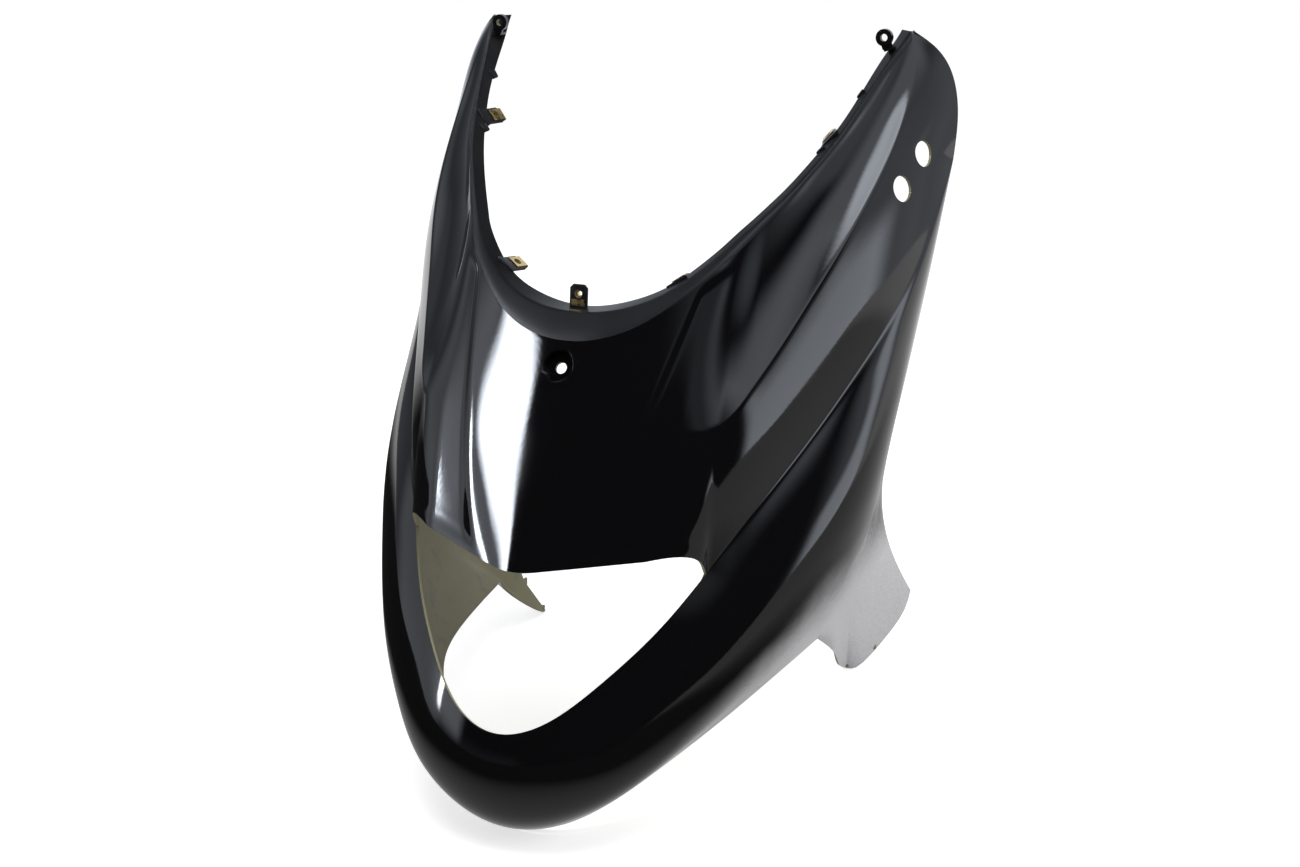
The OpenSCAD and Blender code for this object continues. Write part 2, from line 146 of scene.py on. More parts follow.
LOW_3 = [(0, -424, 12), (40, -412, 17), (80, -384, 36), (114, -352, 64), (148, -314, 94),
         (179, -250, 114), (198, -160, 120), (203, -92, 140), (198, -47, 190), (215, -36, 270),
         (236, -18, 400), (252, 0, 528)]

# Camera, solved from the features that the photograph shows: pixels, millimetres, metres and degrees
PHOTO_W = 1300
FOCAL_PX = 1652.44
SENSOR = 36.0
CAM_AT = (0.57655, -1.268501, 0.78283)
CAM_AZIMUTH = 22.744
CAM_ELEVATION = 19.098

# Sizes of the fittings in millimetres, as in the part's source
SEAT_DROP = 45
SEAT_D = 27
SEAT_DEPTH = 8
SEAT_HOLE_D = 10
SEAT_FLARE = 1.0
CUP_SET_BACK = 0.9
HORN_HOLE_D = 23
HORN_HOLES = [(11, 1.46), (10.35, 1.34)]
EAR_HOLE_D = 6.5
EAR_D = 15
EAR_T = 5
EAR_ARM_W = 9
EAR_HEEL_L = 13
EAR_SET_BACK = 0.6
EAR_OVERRUN = 2
EAR_KNOT = 13.7
EAR_AT = (190.5, -28, 636)
EAR_EDGE_R = 0.7
ARM_EDGE_R = 0.5
TAB_W = 16
TAB_T = 2.6
TAB_L = 20
TAB_ROOT = 4
TAB_FLARE = 2
TAB_CORNER = 3
TAB_EDGE_R = 0.4
TAB_HOLE_D = 7
TAB_HOLE_Y = 12
CLIP_W = 12
CLIP_OUT = 4.4
CLIP_GAP = 0.1
TABS = {"centre": (0, -0.6, (0, 0.1, 1)), "low": (2.2, -1, (-0.15, 0.85, -0.1)),
        "high": (9.4, -1, (-0.3, 0.95, 0))}
LUG_L = 9
LUG_H = 3.5
LUG_ROOT = 3
LUGS = [(8.9, -1, (-0.3, 0.95, 0)), (11.2, -1, (-0.3, 0.95, 0))]
FLANGE_SLOT = (12, 3)
FLANGE_SLOT_AT = -0.22
HOOK_L = 8
HOOK_T = 2.6
HOOKS = [((200, 9, 28), 0, (HOOK_T, HOOK_L, HOOK_L)), ((173, -4, 5), -20, (2 * HOOK_T, HOOK_L, 4))]

# How far the cutting tools reach past the walls they cut, in millimetres
SEAT_REACH = 4
SEAT_HOLE_REACH = 6
HORN_REACH = 20
EAR_REACH = 30
TAB_REACH = 5
ROOT_ROOM = 0.6

# Sharpest angle that is shaded smooth, in degrees
SMOOTH_ANGLE = 32

# Grey overspray on the feet and a painted pale reflection of the white floor along the undersides: it starts
# where the distance from the middle times the slope, less the height, is this much
SPRAY_AND_SHEEN_SLOPE = 1.37
SPRAY_AND_SHEEN_WOBBLE = 0.03
SPRAY_AND_SHEEN_FROM = 0.096
SPRAY_AND_SHEEN_TO = 0.165
SPRAY_AND_SHEEN_DARK = (0.42, 0.42, 0.43, 1)
SPRAY_AND_SHEEN_LIGHT = (0.66, 0.66, 0.68, 1)
SPRAY_AND_SHEEN_ROUGHNESS = 0.36
PAINT_BLACK = (0.003, 0.003, 0.0035, 1)

# What the gloss sees round the panel: azimuth and elevation of the middle in degrees, from the front towards
# +X and up, then half width and height, softness of the edges (left, right, below and above), and strength
GLOWS = [
    ("strip softbox", (-49.5, 33), (7, 4.5), (6, 2, 6, 3), 30.0),
    ("bevel lamp", (-66, 15), (1, 5), (1.2, 1.2, 5, 5), 45.0),
    ("spill of the strip", (-58, 20), (8, 8), (14, 6, 14, 6), 1.7),
    ("near left wall", (-78, 8), (8, 10), (14, 8, 14, 12), 0.55),
    ("left wall", (-108, 0), (26, 24), (20, 16, 26, 26), 0.2),
    ("left ceiling", (-95, 46), (12, 10), (14, 10, 12, 14), 0.9),
    ("left floor bounce", (-45, -12), (32, 14), (20, 14, 14, 12), 0.09),
    ("ceiling", (-20, 64), (40, 8), (30, 20, 6, 12), 0.3),
    ("ceiling lamp", (46, 67), (12, 3), (10, 14, 4, 3), 6.0),
    ("right ceiling", (80, 56), (16, 8), (14, 16, 20, 6), 1.5),
    ("right lamp", (97, 1), (9, 6), (8, 12, 10, 7), 2.4),
    ("right wall", (108, 0), (16, 24), (16, 20, 24, 22), 0.75),
]

# Tint of the studio in the gloss, and how squarely a ray must leave backwards to see white
GLOSS_TINT = (0.88, 0.94, 1.04, 1)
REAR_LIGHT = 1.0
REAR_FROM = 0.62
REAR_TO = 0.86
FILL_LIGHT = 0.5

# Floor in metres: its glow for the camera, and what the gloss sees of it by the place that it looks at
FLOOR_SIZE = 12.0
FLOOR_COLOUR = (0.8, 0.8, 0.8, 1)
FLOOR_GLOW = 0.62
FLOOR_GLOSS_NEAR = 0.5
FLOOR_GLOSS_FAR = 0.02
FLOOR_GLOSS_RIGHT = 0.5
FLOOR_NEAR = (0.24, 0.5)
FLOOR_RIGHT = (0.25, 1.0)
FLOOR_REAR = (0.5, 1.6)

# Softboxes, which the gloss doesn't see: name, direction, distance, width, height in metres, power in watts
SOFTBOXES = [("softbox_top", (0.1, -0.25, 1.0), 2.4, 1.8, 1.4, 40),
             ("softbox_right", (1.0, -0.1, 0.45), 2.4, 0.8, 1.4, 20)]
SOFTBOX_AIM = (0, 0, 0.33)

WHITE = (1, 1, 1, 1)


def ramp(t):
    t = np.clip(t, 0, 1)
    return t * t * (3 - 2 * t)


def unit(v):
    return v / np.maximum(np.linalg.norm(v, axis=-1, keepdims=True), 1e-9)


def spline(points, s, even=False):
    """A uniform cubic B-spline that meets its end points; the points may be arrays of rows."""
    c = [np.asarray(p, float) for p in points]
    first = c[1] * [-1, 1, 1] if even else 2 * c[0] - c[1]
    c = np.array([first] + c + [2 * c[-1] - c[-2]])
    s = np.asarray(s, float)
    i = np.clip(np.floor(s), 0, len(points) - 2).astype(int)
    t = s - i
    if c.ndim == 2:
        t = t[..., None]
    weights = ((1 - t) ** 3, 3 * t ** 3 - 6 * t ** 2 + 4, -3 * t ** 3 + 3 * t ** 2 + 3 * t + 1, t ** 3)
    if c.ndim == 3:
        each = np.arange(c.shape[1])
        return sum(w[..., None] * c[i + k, each] for k, w in enumerate(weights)) / 6
    return sum(w * c[i + k] for k, w in enumerate(weights)) / 6


def joined(s, pieces):
    """One edge made of several curves: (last knot, curve, first knot, points a knot, even)."""
    out = np.zeros((len(s), 3))
    done = np.zeros(len(s), bool)
    for last, curve, first, rate, even in pieces:
        here = ~done & (s <= last + 1e-9)
        out[here] = spline(curve, (s[here] - first) * rate, even)
        done |= here
    return out


def outer_top(s):
    return joined(s, [(4, LAMP_TOP, 0, 1, True),
                      (CORNER_KNOT, LAMP_CORNER, 4, 3, False),
                      (END_KNOT, CREASE_B, CORNER_KNOT, 1, False),
                      (LAST_KNOT, HORN_REAR, END_KNOT, 1, False)])


def inner_low(s):
    return joined(s, [(CORNER_KNOT, LAMP_LOW, 0, 1, True),
                      (END_KNOT, CREASE_B, CORNER_KNOT, 1, False)])


def outer_low(s):
    return joined(s, [(NOTCH_KNOT, BODY_LOW, 0, 1, True),
                      (TIP_KNOT, FOOT_FRONT, NOTCH_KNOT, 3, False),
                      (FOOT_KNOT, FOOT_REAR, TIP_KNOT, 4, False),
                      (END_KNOT, BODY_REAR, FOOT_KNOT, 5 / 3, False)])


def rounding(x, t1, t2, r):
    """How far a sharp corner between directions t1 and t2 is cut back at the distance x from it."""
    pull = np.maximum(r - x, 0) ** 2 / (4 * np.maximum(r, 1e-6))
    return pull[:, None] * (t1 + t2)


def band_width(s):
    return BAND_W + (BAND_TIP_W - BAND_W) * ramp(s / BAND_FADE)


def column(values):
    return np.asarray(values)[:, None]


def hood_raw(s, u):
    """Points of the hood at the knots s and the shares u of the way from the cut-out over the crease."""
    u = np.broadcast_to(np.asarray(u, float), s.shape)
    e = spline(EDGE_U, s, True)
    a = spline(CREASE_A, s, True)
    o = outer_top(s)
    turn = ramp(s / TURN_OVER)
    sharp = ramp((s - SHARP_FROM) / SHARP_OVER) * ramp((LAST_KNOT - s) / SHARP_END_OVER)
    reach = np.linalg.norm(a - e, axis=1)
    reach_out = np.linalg.norm(o - a, axis=1)
    inside = np.maximum(u, 0)
    across = inside * reach
    roll = BAND_ROLL * np.maximum(1 - across / band_width(s), 0) ** 2
    step = (STEP_H * ramp((s - STRIP_KNOT) / STEP_SHARE)
            * (1 - ramp((s - STRIP_KNOT - STEP_SHARE) / STEP_FADE))
            * ramp((across - BAND_W) / STEP_RISE) * (1 - ramp((u - STEP_END) / STEP_END_OVER)))
    crown = CROWN * sharp * np.sin(math.pi * np.clip(u, 0, 1))
    hollow = -HOLLOW * sharp * np.sin(math.pi * np.clip(u - 1, 0, 1))
    creased = np.where(column(u <= 1), e + (a - e) * column(u), a + (o - a) * column(u - 1))
    from_crease = np.where(u <= 1, (1 - u) * reach, (u - 1) * reach_out)
    creased = creased + rounding(from_crease, unit(e - a), unit(o - a), np.full(len(s), CREASE_R))
    soft = spline([e, a, o], inside)
    base = np.where(column(u <= 0), e, soft + (creased - soft) * column(sharp))
    gain = FLANGE_GAIN * ramp((s - FLANGE_GAIN_FROM) / FLANGE_GAIN_OVER)
    depth = FLANGE_D * (1 - FLANGE_LOSS * turn + gain)
    lean = ramp((s - LEAN_FROM) / LEAN_OVER)
    rise = RISE * ramp(s / RISE_OVER) * (1 - ramp((s - RISE_END) / RISE_END_OVER))
    flange_way = unit(np.stack([-LEAN_IN * lean, 1 - LEAN_BACK * lean, rise], 1))
    flange = column(np.maximum(-u, 0) * depth) * flange_way
    shift = np.stack([0 * s, roll + step, 0 * s], 1)
    return base + flange + shift + column(crown + hollow) * np.array(BULGE_WAY)


def low_raw(s, u):
    """Points of the lower body at the knots s; u runs from the lamp opening (0) to the lower edge (4)."""
    between = [spline(curve, s, True) for curve in (LOW_1, LOW_2, LOW_3)]
    rows = [inner_low(s)] + between + [outer_low(s)]
    return spline(rows, np.broadcast_to(np.asarray(u, float), s.shape))


def crease_b_sides(s):
    """Directions away from the lower crease on both sides, and the radius that rounds it."""
    s_low = np.clip(s, 0, END_KNOT - 0.02)
    to_hood = unit(hood_raw(s, 1.97) - hood_raw(s, 2))
    to_low = unit(low_raw(s_low, 0.03) - low_raw(s_low, 0))
    r = CREASE_R * ramp((s - CORNER_KNOT) / 0.6) * ramp((END_KNOT - s) / 0.8)
    return to_hood, to_low, r


def band_end(s):
    """Share of the way to the crease at which the band round the cut-out ends."""
    reach = np.linalg.norm(spline(CREASE_A, s, True) - spline(EDGE_U, s, True), axis=1)
    return band_width(s) / np.maximum(reach, 1)


def hood(s, place):
    """One column of the hood: place runs -1 to 0 over the flange, to 1 over the band and to 3 beyond it."""
    end = np.minimum(band_end(s), BAND_END_MAX)
    if place <= 0:
        u = place
    elif place <= 1:
        u = place * end
    elif place <= 2:
        u = end + (place - 1) * (1 - end)
    else:
        u = place - 1
    p = hood_raw(s, u)
    lip = hood_raw(s, 0)
    to_band = unit(hood_raw(s, 0.02) - lip)
    to_flange = unit(hood_raw(s, -0.2) - lip)
    p = p + rounding(np.linalg.norm(p - lip, axis=1), to_band, to_flange, np.full(len(s), LIP_R))
    to_hood, to_low, r = crease_b_sides(s)
    return p + rounding(np.linalg.norm(p - hood_raw(s, 2), axis=1), to_hood, to_low, r)


def low(s, share):
    """One column of the lower body: the last ones keep the slots at their distance from the edge."""
    pitch = np.maximum(np.linalg.norm(spline(LOW_3, s, True) - outer_low(s), axis=1), LOW_MIN_PITCH)
    slot_top = 4 - (SLOT_LAND + SLOT_H) / pitch
    if share <= 1:
        u = slot_top * share
    elif share <= 2:
        u = 4 - (SLOT_LAND + SLOT_H * (2 - share)) / pitch
    else:
        u = 4 - SLOT_LAND / pitch * (3 - share)
    p = low_raw(s, u)
    to_hood, to_low, r = crease_b_sides(s)
    return p + rounding(np.linalg.norm(p - inner_low(s), axis=1), to_hood, to_low, r)


def half_rows():
    plain = np.arange(0, LAST_KNOT + 0.001, ROW_STEP)
    fine = np.arange(STRIP_KNOT, STRIP_KNOT + STRIP_ROWS_OVER, STRIP_ROW_STEP)
    return np.unique(np.round(np.concatenate([plain, fine]), 4))


def spaced(first, last, count):
    return list(first + (last - first) * np.linspace(0, 1, count + 1))


def both_halves(sheet):
    """Rows of the -X half, mirrored, before those of the +X half."""
    flipped = sheet[:0:-1] * [-1, 1, 1]
    return np.concatenate([flipped, sheet])


def sheet_faces(first, rows, wide, zone_of):
    """Faces of a sheet of points and the zone that zone_of(row, column) gives each; None leaves a gap."""
    faces = []
    zones = []
    for i in range(rows - 1):
        for j in range(wide - 1):
            zone = zone_of(i, j)
            if zone is not None:
                k = first + i * wide + j
                faces.append((k, k + 1, k + wide + 1, k + wide))
                zones.append(zone)
    return faces, zones


def skin_mesh():
    """The outer surface of the panel as one open mesh, each face labelled with its zone."""
    s = half_rows()
    s_low = s[s <= END_KNOT + 1e-6]
    hood_places = sorted(HOOD_CLOSE + [u for span in HOOD_SPANS for u in spaced(*span)])
    low_shares = sorted(LOW_CLOSE + spaced(*LOW_SPAN))
    hood_sheet = both_halves(np.stack([hood(s, place) for place in hood_places], 1))
    low_sheet = both_halves(np.stack([low(s_low, share) for share in low_shares], 1))
    knots = np.concatenate([-s_low[:0:-1], s_low])
    slot_column = low_shares.index(1)

    def hood_zone(_, j):
        return BAND if hood_places[j + 1] <= 1 else PAINT

    def low_zone(i, j):
        middle = (knots[i] + knots[i + 1]) / 2
        slotted = any(a < middle < b for a, b in SLOT_SPANS)
        return None if slotted and j == slot_column else PAINT

    hood_rows, hood_wide = hood_sheet.shape[:2]
    hood_faces, hood_zones = sheet_faces(0, hood_rows, hood_wide, hood_zone)
    low_faces, low_zones = sheet_faces(hood_rows * hood_wide, *low_sheet.shape[:2], low_zone)
    points = np.concatenate([hood_sheet.reshape(-1, 3), low_sheet.reshape(-1, 3)])
    return (points - [0, Y_MID, 0]) * MM, hood_faces + low_faces, hood_zones + low_zones


def new_object(name, mesh):
    obj = bpy.data.objects.new(name, mesh)
    bpy.context.scene.collection.objects.link(obj)
    return obj


def apply_modifiers(obj):
    bpy.context.view_layer.update()
    done = obj.evaluated_get(bpy.context.evaluated_depsgraph_get())
    mesh = bpy.data.meshes.new_from_object(done, preserve_all_data_layers=True,
                                           depsgraph=bpy.context.evaluated_depsgraph_get())
    obj.modifiers.clear()
    obj.data = mesh


def panel_shell(finishes):
    """The panel's outer skin as an object with its materials, still without a wall, fittings or holes."""
    points, faces, zones = skin_mesh()
    mesh = bpy.data.meshes.new("leg_shield_panel")
    mesh.from_pydata([tuple(p) for p in points], [], faces)
    for material in finishes:
        mesh.materials.append(material)
    for polygon, zone in zip(mesh.polygons, zones):
        polygon.material_index = zone
    obj = new_object("leg_shield_panel", mesh)
    bm = bmesh.new()
    bm.from_mesh(mesh)
    bmesh.ops.remove_doubles(bm, verts=bm.verts, dist=MERGE * MM)
    bmesh.ops.dissolve_degenerate(bm, edges=bm.edges, dist=MERGE / 2 * MM)
    bm.normal_update()
    bm.to_mesh(mesh)
    bm.free()
    return obj


def thicken(obj):
    """Gives the skin its wall, whose inner side and rims are bare plastic."""
    wall = obj.modifiers.new("wall", "SOLIDIFY")
    wall.thickness = WALL * MM
    wall.offset = -1
    wall.use_even_offset = True
    wall.use_quality_normals = True
    wall.thickness_clamp = 0
    wall.material_offset = BARE
    wall.material_offset_rim = BARE
    apply_modifiers(obj)


def to_frame(v):
    """A point of the design, in millimetres, moved to the part's own frame."""
    return np.asarray(v, float) - [0, Y_MID, 0]


def spot(s, u):
    return to_frame(hood_raw(np.array([float(s)]), u)[0])


def axes(origin, x, y, z):
    """A matrix that takes local millimetres to the frame, in metres."""
    m = Matrix([[x[k], y[k], z[k], origin[k]] for k in range(3)] + [[0, 0, 0, 1]])
    return Matrix.Scale(MM, 4) @ m


def along_z(origin, z):
    x = unit(np.cross([0, 0, 1], z))
    return axes(origin, x, np.cross(z, x), z)


def along_y(origin, y, x0):
    z = unit(np.cross(x0, y))
    return axes(origin, np.cross(y, z), y, z)


def out_normal(s, u):
    return unit(np.cross(spot(s, u + 0.02) - spot(s, u - 0.02), spot(s + 0.02, u) - spot(s - 0.02, u)))


def lathe(profile, segments=72):
    """A closed turned solid from (radius, height) points, lowest first; ends on the axis are capped."""
    bm = bmesh.new()
    rings = []
    for radius, height in profile:
        if radius == 0:
            rings.append([bm.verts.new((0, 0, height))])
        else:
            turns = [2 * math.pi * k / segments for k in range(segments)]
            rings.append([bm.verts.new((radius * math.cos(a), radius * math.sin(a), height)) for a in turns])
    for lower, upper in zip(rings, rings[1:]):
        for k in range(segments):
            n = (k + 1) % segments
            ring = [lower[k % len(lower)], lower[n % len(lower)]]
            ring += [upper[n % len(upper)], upper[k % len(upper)]]
            unique = list(dict.fromkeys(ring))
            if len(unique) > 2:
                bm.faces.new(unique)
    return bm


def cylinder(d, low_end, high_end, flare=0.0):
    """A solid cylinder along z; flare widens its top end with a rounded mouth."""
    r = d / 2
    profile = [(0, low_end), (r, low_end)]
    if flare:
        profile += [(r + flare * (1 - math.cos(a)), -flare + flare * math.sin(a))
                    for a in np.linspace(0, math.pi / 2, 5)]
        profile += [(r + flare, high_end), (0, high_end)]
    else:
        profile += [(r, high_end), (0, high_end)]
    return lathe(profile)


def box(size, centre=(0, 0, 0)):
    bm = bmesh.new()
    bmesh.ops.create_cube(bm, size=1)
    place = Matrix.Translation(centre) @ Matrix.Diagonal((*size, 1))
    bmesh.ops.transform(bm, verts=bm.verts, matrix=place)
    return bm


def plate(outline, thickness):
    """A flat plate in the xy plane, centred on z = 0."""
    bm = bmesh.new()
    low_face = bm.faces.new([bm.verts.new((x, y, -thickness / 2)) for x, y in outline])
    grown = bmesh.ops.extrude_face_region(bm, geom=[low_face])["geom"]
    top = [g for g in grown if isinstance(g, bmesh.types.BMVert)]
    bmesh.ops.translate(bm, verts=top, vec=(0, 0, thickness))
    bmesh.ops.recalc_face_normals(bm, faces=bm.faces)
    return bm


def rounded(bm, width, segments=2):
    """The same solid with its sharp edges rounded."""
    sharp = [e for e in bm.edges if e.calc_face_angle(0) > math.radians(50)]
    bmesh.ops.bevel(bm, geom=sharp, offset=width, segments=segments, profile=0.6, affect="EDGES",
                    clamp_overlap=True)
    return bm


def gather(name, parts, zone, finishes):
    """One mesh object from (bmesh, matrix) parts, all of one material zone."""
    whole = bmesh.new()
    for bm, matrix in parts:
        bmesh.ops.transform(bm, verts=bm.verts, matrix=matrix)
        mesh = bpy.data.meshes.new("part")
        bmesh.ops.recalc_face_normals(bm, faces=bm.faces)
        bm.to_mesh(mesh)
        bm.free()
        whole.from_mesh(mesh)
        bpy.data.meshes.remove(mesh)
    mesh = bpy.data.meshes.new(name)
    whole.to_mesh(mesh)
    whole.free()
    for material in finishes:
        mesh.materials.append(material)
    for polygon in mesh.polygons:
        polygon.material_index = zone
    return new_object(name, mesh)


def mirrored_x(matrix):
    return Matrix.Diagonal((-1, 1, 1, 1)) @ matrix


def both_sides(make, matrix):
    return [(make(), matrix), (make(), mirrored_x(matrix))]


def combine(target, parts, zone, operation):
    """Joins solids to the panel or cuts them out of it; their faces take the material zone."""
    tool = gather("tool", parts, zone, target.data.materials)
    step = target.modifiers.new(operation, "BOOLEAN")
    step.operation = operation
    step.solver = "MANIFOLD"
    step.object = tool
    apply_modifiers(target)
    bpy.data.objects.remove(tool)


def tab_axes(tab):
    knot, u, way = tab
    run = unit(spot(knot + 0.05, u) - spot(knot - 0.05, u))
    return along_y(spot(knot, u), unit(np.array(way, float)), run)


def tab_plate():
    w = TAB_W / 2
    end = TAB_L - TAB_CORNER
    right = [(w + TAB_FLARE, -TAB_ROOT), (w, 1), (w, end), (w - TAB_CORNER, TAB_L)]
    left = [(-x, y) for x, y in right]
    outline = left[:1] + right + left[:0:-1]
    return rounded(plate(outline, TAB_T), TAB_EDGE_R)


def lug_plate():
    w = LUG_L / 2
    outline = [(-w, -LUG_ROOT), (w, -LUG_ROOT), (w - 1, LUG_H), (1 - w, LUG_H)]
    return rounded(plate(outline, TAB_T), TAB_EDGE_R)


def seat_axes():
    seat_u = SEAT_DROP / np.linalg.norm(spot(0, 1) - spot(0, 0))
    return along_z(spot(0, seat_u), out_normal(0, seat_u))


def ear_parts():
    """The disc round each ear's hole, the thin arm to the horn and the deeper heel behind the arm's root."""
    at = to_frame(EAR_AT)
    root = spot(EAR_KNOT, -1)
    reach = math.hypot(root[0] - at[0], root[2] - at[2])
    lean = math.atan2(root[0] - at[0], root[2] - at[2])
    place = Matrix.Scale(MM, 4) @ Matrix.Translation(at)
    disc_axes = place @ Matrix.Rotation(math.radians(90), 4, "X")
    arm_axes = place @ Matrix.Rotation(lean, 4, "Y")
    arm_l = reach + EAR_OVERRUN
    arm_size = (EAR_ARM_W, EAR_T - 2 * EAR_SET_BACK, arm_l)
    heel_size = (EAR_ARM_W - 2 * EAR_SET_BACK, EAR_HEEL_L, arm_l - EAR_D / 2)
    heel_y = 2 * EAR_SET_BACK - EAR_T / 2 + EAR_HEEL_L / 2
    heel_centre = (0, heel_y, EAR_OVERRUN + (arm_l + EAR_D / 2) / 2)
    disc = both_sides(lambda: rounded(cylinder(EAR_D, -EAR_T / 2, EAR_T / 2), EAR_EDGE_R, 3), disc_axes)
    arm = both_sides(lambda: rounded(box(arm_size, (0, 0, arm_l / 2)), ARM_EDGE_R, 3), arm_axes)
    heel = both_sides(lambda: rounded(box(heel_size, heel_centre), EAR_EDGE_R, 3), arm_axes)
    return disc, arm, heel


def hook_parts():
    """Small blocks inside each foot, which hold it to the footboard."""
    out = []
    for centre, turn, size in HOOKS:
        place = Matrix.Scale(MM, 4) @ Matrix.Translation(to_frame(centre))
        place = place @ Matrix.Rotation(math.radians(turn), 4, "Z")
        if turn:
            place = place @ Matrix.Translation((0, HOOK_L / 2, 0))
        out += both_sides(lambda: rounded(box(size), TAB_EDGE_R), place)
    return out


def add_fittings(obj):
    for part in ear_parts():
        combine(obj, part, PAINT, "UNION")
    tabs = [(tab_plate(), tab_axes(TABS["centre"]))]
    for name in ("low", "high"):
        tabs += both_sides(tab_plate, tab_axes(TABS[name]))
    for place in LUGS:
        tabs += both_sides(lug_plate, tab_axes(place))
    combine(obj, tabs, BAND, "UNION")
    cup = cylinder(SEAT_D + 2 * WALL, 0, SEAT_DEPTH + WALL - CUP_SET_BACK)
    cup_axes = seat_axes() @ Matrix.Translation((0, 0, -SEAT_DEPTH - WALL))
    combine(obj, [(cup, cup_axes)] + hook_parts(), BARE, "UNION")


def cut_openings(obj):
    recess = cylinder(SEAT_D, -SEAT_DEPTH, SEAT_REACH, flare=SEAT_FLARE)
    combine(obj, [(recess, seat_axes())], PAINT, "DIFFERENCE")
    cuts = [(cylinder(SEAT_HOLE_D, -SEAT_DEPTH - SEAT_HOLE_REACH, 0), seat_axes())]
    for s, u in HORN_HOLES:
        horn_axes = along_z(spot(s, u), out_normal(s, u))
        cuts += both_sides(lambda: cylinder(HORN_HOLE_D, -HORN_REACH, HORN_REACH), horn_axes)
    ear_axes = Matrix.Scale(MM, 4) @ Matrix.Translation(to_frame(EAR_AT))
    ear_axes = ear_axes @ Matrix.Rotation(math.radians(90), 4, "X")
    cuts += both_sides(lambda: cylinder(EAR_HOLE_D, -EAR_REACH, EAR_REACH), ear_axes)
    hole_at = Matrix.Translation((0, TAB_HOLE_Y, 0))
    for name in ("low", "high"):
        hole_axes = tab_axes(TABS[name]) @ hole_at
        cuts += both_sides(lambda: cylinder(TAB_HOLE_D, -TAB_REACH, TAB_REACH), hole_axes)
    centre_tab = tab_axes(TABS["centre"])
    cuts.append((cylinder(TAB_HOLE_D, -TAB_REACH, TAB_REACH), centre_tab @ hole_at))
    room = CLIP_OUT / 2 + 2 * CLIP_GAP
    root_y = 2 * TAB_HOLE_Y - (TAB_L + CLIP_GAP) - room / 2 + CLIP_GAP
    root_slot = box((CLIP_W + 2 * CLIP_GAP + ROOT_ROOM, room, 4 * TAB_T))
    cuts.append((root_slot, centre_tab @ Matrix.Translation((0, root_y, 0))))
    slot = box((*FLANGE_SLOT, 8 * WALL))
    cuts.append((slot, Matrix.Scale(MM, 4) @ Matrix.Translation(spot(0, FLANGE_SLOT_AT))))
    combine(obj, cuts, BARE, "DIFFERENCE")


def finish_shading(obj):
    obj.data.shade_smooth()
    obj.data.set_sharp_from_angle(angle=math.radians(SMOOTH_ANGLE))


class Nodes:
    """A short way to build one node tree."""

    def __init__(self, tree):
        self.tree = tree
        self.tree.nodes.clear()

    def add(self, kind, **values):
        node = self.tree.nodes.new(kind)
        for key, value in values.items():
            if hasattr(node, key):
                setattr(node, key, value)
            else:
                self.put(node.inputs[key.replace("_", " ")], value)
        return node

    def put(self, socket, value):
        if isinstance(value, bpy.types.NodeSocket):
            self.tree.links.new(value, socket)
        else:
            socket.default_value = value

    def fit(self, value, low_in, high_in, low_out, high_out):
        node = self.add("ShaderNodeMapRange", interpolation_type="SMOOTHSTEP")
        for name, number in zip(("Value", "From Min", "From Max", "To Min", "To Max"),
                                (value, low_in, high_in, low_out, high_out)):
            self.put(node.inputs[name], number)
        return node.outputs[0]

    def math(self, operation, a, b=0.0):
        node = self.add("ShaderNodeMath", operation=operation)
        self.put(node.inputs[0], a)
        self.put(node.inputs[1], b)
        return node.outputs[0]

    def mix(self, factor, a, b):
        node = self.add("ShaderNodeMix", data_type="RGBA")
        self.put(node.inputs[0], factor)
        self.put(node.inputs[6], a)
        self.put(node.inputs[7], b)
        return node.outputs[2]

    def light_path(self):
        """Sockets that are 1 for the camera's own rays, and for rays off a gloss or through glass."""
        path = self.add("ShaderNodeLightPath")
        shiny = self.math("MAXIMUM", path.outputs["Is Glossy Ray"], path.outputs["Is Transmission Ray"])
        return path.outputs["Is Camera Ray"], shiny


class MaterialNodes(Nodes):
    """The node tree of one new material."""

    def __init__(self, name):
        self.material = bpy.data.materials.new(name)
        self.material.use_nodes = True
        super().__init__(self.material.node_tree)
        self.out = self.add("ShaderNodeOutputMaterial")

    def point(self):
        return self.add("ShaderNodeTexCoord").outputs["Object"]

    def noise(self, scale, detail, stretch=(1, 1, 1)):
        moved = self.add("ShaderNodeMapping", Scale=stretch)
        self.put(moved.inputs["Vector"], self.point())
        texture = self.add("ShaderNodeTexNoise", Scale=scale, Detail=detail, Roughness=0.5)
        self.put(texture.inputs["Vector"], moved.outputs[0])
        return texture.outputs["Fac"]

    def bump(self, height, distance, strength):
        node = self.add("ShaderNodeBump", Distance=distance, Strength=strength)
        self.put(node.inputs["Height"], height)
        return node.outputs[0]

    def place(self):
        """X, Y and Z of the surface in the object's own space."""
        split = self.add("ShaderNodeSeparateXYZ")
        self.put(split.inputs[0], self.point())
        return split.outputs["X"], split.outputs["Y"], split.outputs["Z"]

    def from_origin(self):
        """Distance of the surface from the object's origin."""
        length = self.add("ShaderNodeVectorMath", operation="LENGTH")
        self.put(length.inputs[0], self.point())
        return length.outputs["Value"]

    def surface(self, **values):
        shader = self.add("ShaderNodeBsdfPrincipled")
        for key, value in values.items():
            self.put(shader.inputs[key.replace("_", " ")], value)
        self.tree.links.new(shader.outputs[0], self.out.inputs["Surface"])
        return self.material


